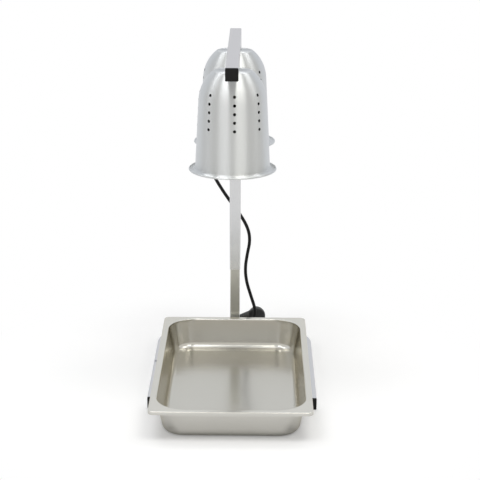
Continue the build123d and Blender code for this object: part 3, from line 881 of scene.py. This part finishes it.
@dataclass
class Plug:
    """Moulded plug lying on its edge: round grip with a rib, face block and ringed boot."""

    node: str = "plug_body"
    grip_radius: float = 21.0 * MM
    grip_depth: float = 14.0 * MM
    grip_edge: float = 4.0 * MM
    face_radius: float = 18.3 * MM
    face_depth: float = 10.0 * MM
    face_edge: float = 0.8 * MM
    rib_half: Place = (1.3 * MM, 0.9 * MM, 16.0 * MM)
    rib_power: float = 0.55
    boot_reach: float = 57.0 * MM
    boot_sunk: float = 15.0 * MM
    boot_droop: float = 9.0 * MM
    boot_root: float = 13.5 * MM
    boot_tip: float = 4.4 * MM
    boot_bore: float = 3.2 * MM
    boot_rings: int = 8
    ring_depth: float = 0.9 * MM
    turns: int = 96
    finish: Moulding = Moulding(Slot.RUBBER, grey(0.011), 0.40, grey(0.020), 1000.0)

    def grip_profile(self) -> Numbers:
        """Radius and height from the back's middle round the grip and the face block to the front's middle."""
        grip, face, front, back = self.grip_radius, self.face_radius, self.face_depth, -self.grip_depth
        edge, side = self.grip_edge, self.face_edge
        return joined(
            line((0.0, back), (grip - edge, back), 8),
            arc((grip - edge, back + edge), edge, -90.0, 0.0, 12),
            line((grip, back + edge), (grip, -side), 6),
            arc((grip - side, -side), side, 0.0, 90.0, 6),
            line((grip - side, 0.0), (face, 0.0), 3),
            line((face, 0.0), (face, front - side), 5),
            arc((face - side, front - side), side, 0.0, 90.0, 6),
            line((face - side, front), (0.0, front), 8))

    def rib(self) -> Numbers:
        """Raised rib across the grip's back, a rounded bar: signed powers of the sphere's sines and cosines."""
        up = np.linspace(-math.pi / 2, math.pi / 2, 25)[:, None]
        shape = around(np.cos(up), full_turn(32), np.sin(up))
        bar = np.sign(shape) * np.abs(shape) ** self.rib_power * self.rib_half
        return bar + (0.0, -self.grip_depth, 0.0)

    def boot(self) -> Numbers:
        """Ringed sleeve from inside the grip to the cord, drooping on its way: the rings along its slant."""
        drop = np.array([-(self.boot_reach - self.boot_sunk), 0.0, -self.boot_droop])
        length = float(np.linalg.norm(drop))
        sleeve = ringed(self.boot_root, self.boot_tip, length, self.boot_rings, self.ring_depth, 97)
        made = turned(joined(sleeve, line(sleeve[-1], (self.boot_bore, length), 3)), full_turn(self.turns))
        along = drop / length
        across = np.array([along[2], 0.0, -along[0]])
        root = (-self.boot_sunk, -self.grip_depth / 2, 0.0)
        return made @ np.stack([across, np.cross(along, across), along]) + root

    def build(self) -> Object:
        """Builds and dresses the plug.

        Returns:
            The piece.
        """
        low, high = corners(self.node)
        grip = laid_back(turned(self.grip_profile(), full_turn(self.turns)))
        surface = Surface("plug_moulding").add(grip, self.rib(), self.boot())
        centre = (high[0] - self.grip_radius, high[1] - self.face_depth, low[2] + self.grip_radius)
        return dress(surface.finish(centre), self.finish, "plug_rubber", Body.BASE, self.node)


@dataclass
class CordEntry:
    """Strain relief behind the post: round flange and a ringed boot with the lead's hole in it."""

    node: str = "cord_gland"
    flange_radius: float = 9.0 * MM
    flange_depth: float = 3.0 * MM
    edge: float = 0.8 * MM
    thread_radius: float = 5.9 * MM
    root: float = 7.0 * MM
    tip: float = 4.6 * MM
    bore: float = 3.3 * MM
    length: float = 21.0 * MM
    rings: int = 6
    ring_depth: float = 0.7 * MM
    turns: int = 64
    finish: Moulding = Moulding(Slot.PLASTIC, grey(0.010), 0.44, grey(0.018))

    def build(self) -> None:
        """Builds and dresses the strain relief."""
        low, high = corners(self.node)
        edge, start, end = self.edge, self.flange_depth, self.flange_depth + self.length
        bore, thread, flange = self.bore, self.thread_radius, self.flange_radius
        inside = end - (high[1] - low[1])
        sleeve = ringed(self.root, self.tip, self.length, self.rings, self.ring_depth, 73)
        profile = joined(
            line((bore, inside), (thread, inside), 3),
            line((thread, inside), (thread, 0.0), 4),
            line((thread, 0.0), (flange, 0.0), 3),
            line((flange, 0.0), (flange, start - edge), 3),
            arc((flange - edge, start - edge), edge, 0.0, 90.0, 6),
            sleeve + (0.0, start),
            line((self.tip, end), (bore, end), 3),
            line((bore, end), (bore, inside), 6))
        surface = Surface("cord_entry").add(laid_back(turned(profile, full_turn(self.turns))))
        middle = (low + high) / 2
        centre = (middle[0], high[1] - end, middle[2])
        dress(surface.finish(centre), self.finish, "entry_plastic", Body.MAST, self.node)


@dataclass
class ClampKnob:
    """Fluted knob of the clamp screw, dished at its back."""

    node: str = "lock_knob"
    flutes: int = 8
    flute_depth: float = 1.4 * MM
    flute_power: int = 3
    edge: float = 1.5 * MM
    dish_radius: float = 6.5 * MM
    dish_depth: float = 1.2 * MM
    bore: float = 3.1 * MM
    bore_depth: float = 10.0 * MM
    turns: int = 160
    finish: Moulding = Moulding(Slot.PLASTIC, grey(0.010), 0.42, grey(0.018))

    def build(self) -> None:
        """Builds and dresses the knob.

        The grip's radius is less by d ((1 + cos n a) / 2)^p at the angle a, with n flutes of depth d; the
        share of this that a ring gets grows with its radius beyond the dish.
        """
        low, high = corners(self.node)
        radius, length, edge, dish = (high[0] - low[0]) / 2, high[1] - low[1], self.edge, self.dish_radius
        profile = joined(
            line((self.bore, self.bore_depth), (self.bore, 0.0), 3),
            line((self.bore, 0.0), (radius - edge, 0.0), 8),
            arc((radius - edge, edge), edge, -90.0, 0.0, 8),
            line((radius, edge), (radius, length - edge), 10),
            arc((radius - edge, length - edge), edge, 0.0, 90.0, 8),
            line((radius - edge, length), (dish, length), 6),
            arc((0.0, length), (dish, -self.dish_depth), 0.0, 90.0, 16))
        angles = full_turn(self.turns)
        flute = self.flute_depth * ((1.0 + np.cos(self.flutes * angles)) / 2.0) ** self.flute_power
        grip = np.clip((profile[:, :1] - dish) / (radius - dish), 0.0, 1.0)
        handle = around(profile[:, :1] - flute * grip, angles, profile[:, 1:])
        bore_end = turned(line((self.bore, self.bore_depth), (0.0, self.bore_depth), 3), angles)
        surface = Surface("clamp_knob").add(laid_back(handle), laid_back(bore_end))
        middle = (low + high) / 2
        centre = (middle[0], low[1], middle[2])
        dress(surface.finish(centre), self.finish, "knob_plastic", Body.CLAMP, self.node)


@dataclass
class MainsLead:
    """Mains lead: hangs from the gland, lies behind the base in a small tied coil and ends in the plug.

    The points of the lead and of its tail are given from the post's centre on the table.
    """

    diameter: float = 7.6 * MM
    length: float = 1.70
    start_back: float = 36.7 * MM
    coil_x: float = -75.0 * MM
    coil_back: float = 62.0 * MM
    coil_mean: float = 38.5 * MM
    coil_floor: float = 4.85 * MM
    coil_from: float = 300.0
    coil_to: float = 90.0
    coil_laps: int = 3
    coil_steps: int = 24
    lap_change: float = 0.2
    blend_low: float = 0.10
    blend_high: float = 0.60
    lead: ClassVar[list[Place]] = [
        (0.0, 0.0620, 0.6100), (-0.0050, 0.0850, 0.5995), (-0.0140, 0.0970, 0.5770),
        (-0.0250, 0.0970, 0.5480), (-0.0380, 0.0880, 0.5130), (-0.0510, 0.0760, 0.4760),
        (-0.0600, 0.0650, 0.4340), (-0.0550, 0.0580, 0.3900), (-0.0360, 0.0565, 0.3560),
        (-0.0110, 0.0580, 0.3180), (0.0145, 0.0600, 0.2830), (0.0305, 0.0615, 0.2510),
        (0.0340, 0.0625, 0.2220), (0.0275, 0.0640, 0.1900), (0.0226, 0.0660, 0.1540),
        (0.0260, 0.0680, 0.1200), (0.0360, 0.0695, 0.0865), (0.0493, 0.0700, 0.0444),
        (0.0406, 0.0690, 0.0189), (0.0186, 0.0660, 0.0039), (-0.0070, 0.0560, 0.0039),
        (-0.0310, 0.0415, 0.0041), (-0.0541, 0.0258, 0.00485),
    ]
    tail: ClassVar[list[Place]] = [(-0.0400, 0.1036, 0.0049), (-0.0067, 0.1030, 0.0120)]
    finish: Moulding = Moulding(Slot.RUBBER, grey(0.012), 0.42, grey(0.022), 900.0, gloss=0.15)

    def coil(self) -> Numbers:
        """Turns of the coil, clockwise from above: bottom outer, bottom inner, top inner, top outer."""
        half = self.diameter / 2
        turns = np.array([(half, 0.0), (-half, 0.0), (-half, self.diameter), (half, self.diameter)])
        turns += (self.coil_mean, self.coil_floor)
        laps = (self.coil_from - self.coil_to) / 360.0 + self.coil_laps
        steps = round(laps * self.coil_steps)
        lap = np.arange(1, steps + 1) / steps * laps
        whole = np.minimum(lap.astype(int), self.coil_laps)
        after = np.minimum(whole + 1, self.coil_laps)
        ease = smooth((lap - whole - 1.0) / self.lap_change + 1.0)[:, None]
        radius, level = (turns[whole] + (turns[after] - turns[whole]) * ease).T
        angle = np.radians(self.coil_from - 360.0 * lap)
        return around(radius, angle, level) + (self.coil_x, self.coil_back, 0.0)

    def spline(self, post_y: float) -> Object:
        """Curve object with the whole route as one open smooth spline."""
        start = (0.0, self.start_back, self.lead[0][2])
        route = np.concatenate([[start], self.lead, self.coil(), self.tail]) + (0.0, post_y, 0.0)
        curve = bpy.data.curves.new("lead_route", "CURVE")
        curve.dimensions = "3D"
        curve.resolution_u = 8
        spline = curve.splines.new("NURBS")
        spline.points.add(len(route) - 1)
        spline.points.foreach_set("co", np.insert(route, 3, 1.0, axis=1).ravel())
        spline.order_u = 3
        spline.use_endpoint_u = True
        return bpy.data.objects.new("lead_route", curve)

    def build(self, post_y: float, carried: Sequence[Object]) -> None:
        """Args:
            post_y: Place of the post's centre along the part.
            carried: Pieces on the lead; not used.
        """
        route = self.spline(post_y)
        curve = route.data
        bare = bpy.data.meshes.new_from_object(route)
        bpy.data.meshes.remove(bare)
        curve.bevel_depth = self.diameter / 2
        curve.bevel_resolution = 5
        curve.use_fill_caps = True
        mesh = bpy.data.meshes.new_from_object(route)
        mesh.name = "mains_lead"
        mesh.materials.clear()
        mesh.shade_smooth()
        tube = placed("mains_lead", mesh)
        bpy.data.objects.remove(route)
        bpy.data.curves.remove(curve)
        dress(tube, self.finish, "lead_rubber", None, "cord_lead", "cord_coil", "cord_tail")
        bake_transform(tube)


@dataclass
class LeadTie:
    """Band round the coil's two by two turns, in place of its CAD node."""

    node: str = "cord_tie"
    sheet: float = 0.8 * MM
    gap: float = 0.1 * MM
    place: float = 205.0
    turn: float = 14.0
    places: int = 64
    steps: int = 8
    finish: Moulding = Moulding(Slot.PLASTIC, grey(0.009), 0.5, grey(0.014), gloss=0.22)

    def build(self, lead: MainsLead, post_y: float) -> Object:
        """Builds and dresses the band: a rounded square, the turns' centres plus a circle, swept round the coil.

        Args:
            lead: The lead that it holds.
            post_y: Place of the post's centre along the part.

        Returns:
            The piece.
        """
        way = full_turn(self.places, math.pi / self.places)
        circle = np.stack([np.cos(way), np.sin(way)], axis=-1)
        turns = np.radians(np.linspace(self.place, self.place + self.turn, self.steps + 1))[:, None]
        half = lead.diameter / 2
        skins = []
        for rim, angles in ((half + self.gap + self.sheet, turns), (half + self.gap, turns[::-1])):
            flat = half * np.sign(circle) + rim * circle
            skins.append(around(lead.coil_mean + flat[:, 0], angles, lead.coil_floor + half + flat[:, 1]))
        surface = Surface("lead_tie").add(np.concatenate(skins + [skins[0][:1]]))
        centre = (lead.coil_x, post_y + lead.coil_back, 0.0)
        return dress(surface.finish(centre), self.finish, "tie_plastic", Body.BASE, self.node)


@dataclass
class Fittings:
    """CAD nodes that keep their shape and get the finish of their slot."""

    finishes: ClassVar[tuple[Finish, ...]] = (
        # Painted sheen: the silver tube is brighter in a band about 0.12 m to 0.27 m up; the post steel gets brighter
        # from 75 mm to 205 mm up, and has a painted highlight on its front about 50 mm to 75 mm up.
        SatinSheet(Slot.TUBE, (0.66, 0.665, 0.675), 0.20, (0.70, 0.705, 0.715), (0.83, 0.81, 0.81),
                   (PaintedSheen(1.33, (0.10, 0.12), (0.27, 0.172)),)),
        SatinSheet(Slot.POST, (0.455, 0.455, 0.425), 0.31, (0.495, 0.495, 0.465),
                   painted_sheen=(PaintedSheen(1.55, (75.0 * MM, 205.0 * MM)),
                           PaintedSheen(1.75, (46.0 * MM, 54.0 * MM), (76.0 * MM, 67.0 * MM), (250.0 * MM, 248.5 * MM)))),
        Moulding(Slot.PLASTIC, grey(0.009), 0.5, grey(0.014), gloss=0.22),
        Moulding(Slot.RUBBER, grey(0.012), 0.42, grey(0.022)),
        PlainMetal(Slot.ZINC, (0.62, 0.62, 0.60), 0.30),
        PlainMetal(Slot.PINS, (0.74, 0.73, 0.70), 0.18),
        # Painted shade: this ceramic is coloured dark brown-grey in place of white, standing in for the shade inside
        # the bells.
        Moulding(Slot.CERAMIC, (0.20, 0.18, 0.155), 0.6, (0.27, 0.25, 0.21), 700.0),
        PlainMetal(Slot.BRASS, (0.72, 0.53, 0.25), 0.26),
        PlainMetal(Slot.CAP, (0.74, 0.74, 0.72), 0.29),
        FrostedGlass(Slot.GLASS, (0.93, 0.92, 0.90), 0.35),
        Moulding(Slot.NYLON, (0.83, 0.82, 0.77), 0.45, (0.76, 0.75, 0.7)),
        Moulding(Slot.SLEEVE, (0.30, 0.12, 0.06), 0.4, (0.36, 0.16, 0.09)),
    )

    def build(self) -> None:
        """Dresses every shown CAD node."""
        made = {finish.slot.value: finish.build(finish.slot.value) for finish in self.finishes}
        for row in frame["record"]["subparts"]:
            node = frame["nodes"][row["node"]]
            if node.hide_render:
                continue
            for slot in node.material_slots:
                slot.material = made[row["material_slot"]]
            LOG.info("%s: %s", row["node"], row["material_slot"])


# Studio


@dataclass
class Softbox:
    """Rectangular soft lamp aimed at a point."""

    name: str
    place: Place
    width: float
    height: float
    radiance: float
    colour: Colour = WHITE
    aim: Place = (0.0, 0.0, 0.6)

    def build(self) -> None:
        """Adds the lamp; its power is its radiance times its area times pi."""
        lamp = bpy.data.lights.new(self.name, "AREA")
        lamp.shape = "RECTANGLE"
        lamp.size = self.width
        lamp.size_y = self.height
        lamp.energy = self.radiance * self.width * self.height * math.pi
        lamp.color = self.colour
        made = placed(self.name, lamp)
        made.location = self.place
        way = Vector(self.aim) - Vector(self.place)
        made.rotation_euler = way.to_track_quat("-Z", "Y").to_euler()


@dataclass
class Studio:
    """Pale floor, white surroundings, soft lamps and the camera."""

    camera_place: Place = (0.0443, -2.7303, 1.1746)
    camera_yaw: float = -0.592
    camera_pitch: float = 17.280
    camera_roll: float = 0.233
    focal_pixels: float = 1362.34
    axis_pixel: float = 241.0
    image_side: float = 480.0
    sensor: float = 36.0
    floor_size: float = 8.0
    floor_drop: float = 0.3 * MM
    floor_colour: Colour = (0.9, 0.9, 0.9)
    floor_speck: Colour = (0.88, 0.88, 0.88)
    speck_scale: float = 300.0
    speck_share: float = 0.05
    floor_lift: float = 0.165
    shadow_fade: Span = (0.36, 0.62)
    ambient: float = 0.52
    front_colour: Colour = (0.80, 0.79, 0.75)
    rear_colour: Colour = (0.875, 0.895, 0.925)
    rear_lean: float = 0.3
    rear_from: Span = (-0.35, 0.45)
    low_colour: Colour = (0.52, 0.485, 0.41)
    low_fall: Span = (0.30, 0.02)
    low_front: Span = (0.6, 0.1)
    lamps: ClassVar[list[Softbox]] = [
        Softbox("left_key", (-0.58, -0.80, 2.25), 0.9, 0.7, 5.0, (0.98, 0.985, 1.0)),
        Softbox("right_key", (0.58, -0.80, 2.25), 0.9, 0.7, 5.4, (1.0, 0.99, 0.94)),
        Softbox("left_rear", (-0.92, 0.61, 2.15), 0.4, 0.5, 4.6),
        Softbox("right_rear", (0.92, 0.61, 2.15), 0.4, 0.5, 4.6),
        Softbox("left_side", (-1.28, 0.26, 2.15), 0.4, 0.6, 2.0),
        Softbox("right_side", (1.28, 0.26, 2.15), 0.4, 0.6, 2.0),
        Softbox("overhead", (0.0, 0.1, 2.5), 1.4, 1.2, 0.85, aim=(0.0, 0.0, 0.0)),
    ]

    def build_camera(self) -> None:
        """Camera at the photograph's place; the shift puts its axis on the axis pixel."""
        data = bpy.data.cameras.new("camera")
        data.sensor_width = self.sensor
        data.lens = self.focal_pixels / self.image_side * self.sensor
        data.shift_x = (self.image_side / 2 - self.axis_pixel) / self.image_side
        made = placed("camera", data)
        made.location = self.camera_place
        aim = Euler((math.radians(90.0 - self.camera_pitch), 0.0, math.radians(-self.camera_yaw)))
        roll = Matrix.Rotation(math.radians(self.camera_roll), 3, "Z")
        made.rotation_euler = (aim.to_matrix() @ roll).to_euler()
        bpy.context.scene.camera = made

    def build_floor(self) -> None:
        """Pale floor that keeps the object's shadow and is white where it is seen further away."""
        ends = (-self.floor_size / 2, self.floor_size / 2)
        grid = np.array([[(x, y, -self.floor_drop) for y in ends] for x in ends])
        floor = Surface("floor").add(grid, wrap=False).finish()
        if floor.data.polygons[0].normal.z < 0.0:
            floor.data.flip_normals()
        material = bpy.data.materials.new("floor_paper")
        graph = Graph(material)
        specks = graph.noise(graph.place(), self.speck_scale) * self.speck_share
        tone = graph.blended(specks, self.floor_colour, self.floor_speck)
        paper = graph.node("ShaderNodeBsdfDiffuse", inputs={"Color": tone})
        white, glow = (graph.node("ShaderNodeEmission", inputs={"Color": WHITE, "Strength": strength})
                       for strength in (1.0, self.floor_lift))
        lifted = graph.node("ShaderNodeAddShader", inputs={0: paper, 1: glow})
        camera, seen = graph.seen()
        near = graph.node("ShaderNodeMixShader", inputs={0: camera, 1: paper, 2: lifted})
        x, y, _ = graph.axes(graph.place())
        away = graph.eased((x * x + y * y) ** 0.5, *self.shadow_fade)
        graph.end(graph.node("ShaderNodeMixShader", inputs={0: seen * away, 1: near, 2: white}))
        floor.data.materials.append(material)

    def build_world(self) -> None:
        """White surroundings for the camera; for the metal light behind, and dimmer in front, most of all low."""
        world = bpy.data.worlds.new("studio")
        bpy.context.scene.world = world
        graph = Graph(world)
        x, y, z = graph.axes(graph.node("ShaderNodeTexCoord", output="Generated"))
        behind = graph.eased(y - x * self.rear_lean, *self.rear_from)
        high = graph.blended(behind, self.front_colour, self.rear_colour)
        low = graph.eased(z, *self.low_fall) * graph.eased(y, *self.low_front)
        mirrored = graph.blended(low, high, self.low_colour)
        camera, seen = graph.seen()
        shown = graph.blended(camera, mirrored, WHITE)
        fill, sky = (graph.node("ShaderNodeBackground", inputs={"Color": colour, "Strength": strength})
                     for colour, strength in ((WHITE, self.ambient), (shown, 1.0)))
        graph.end(graph.node("ShaderNodeMixShader", inputs={0: seen, 1: fill, 2: sky}), "ShaderNodeOutputWorld")

    def build(self) -> None:
        """Builds the whole studio."""
        self.build_camera()
        self.build_floor()
        self.build_world()
        for lamp in self.lamps:
            lamp.build()
        bpy.context.scene.view_settings.view_transform = "Standard"


def main() -> None:
    """Builds every sub-assembly in order."""
    logging.basicConfig(level=logging.INFO, format="%(name)s: %(message)s")
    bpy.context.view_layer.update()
    low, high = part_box("lower_post")
    post_y = (low.y + high.y) / 2
    Studio().build()
    lead = MainsLead()
    on_lead = [frame["nodes"][node] for node in ("plug_pins", "plug_earth_clips")]
    lead.build(post_y, on_lead + [LeadTie().build(lead, post_y), Plug().build()])
    CordEntry().build()
    ClampKnob().build()
    Shade("front_shade", 4.0).build()
    Shade("rear_shade", 10.0).build()
    FoodPan().build()
    Fittings().build()


if __name__ == "__main__":
    main()
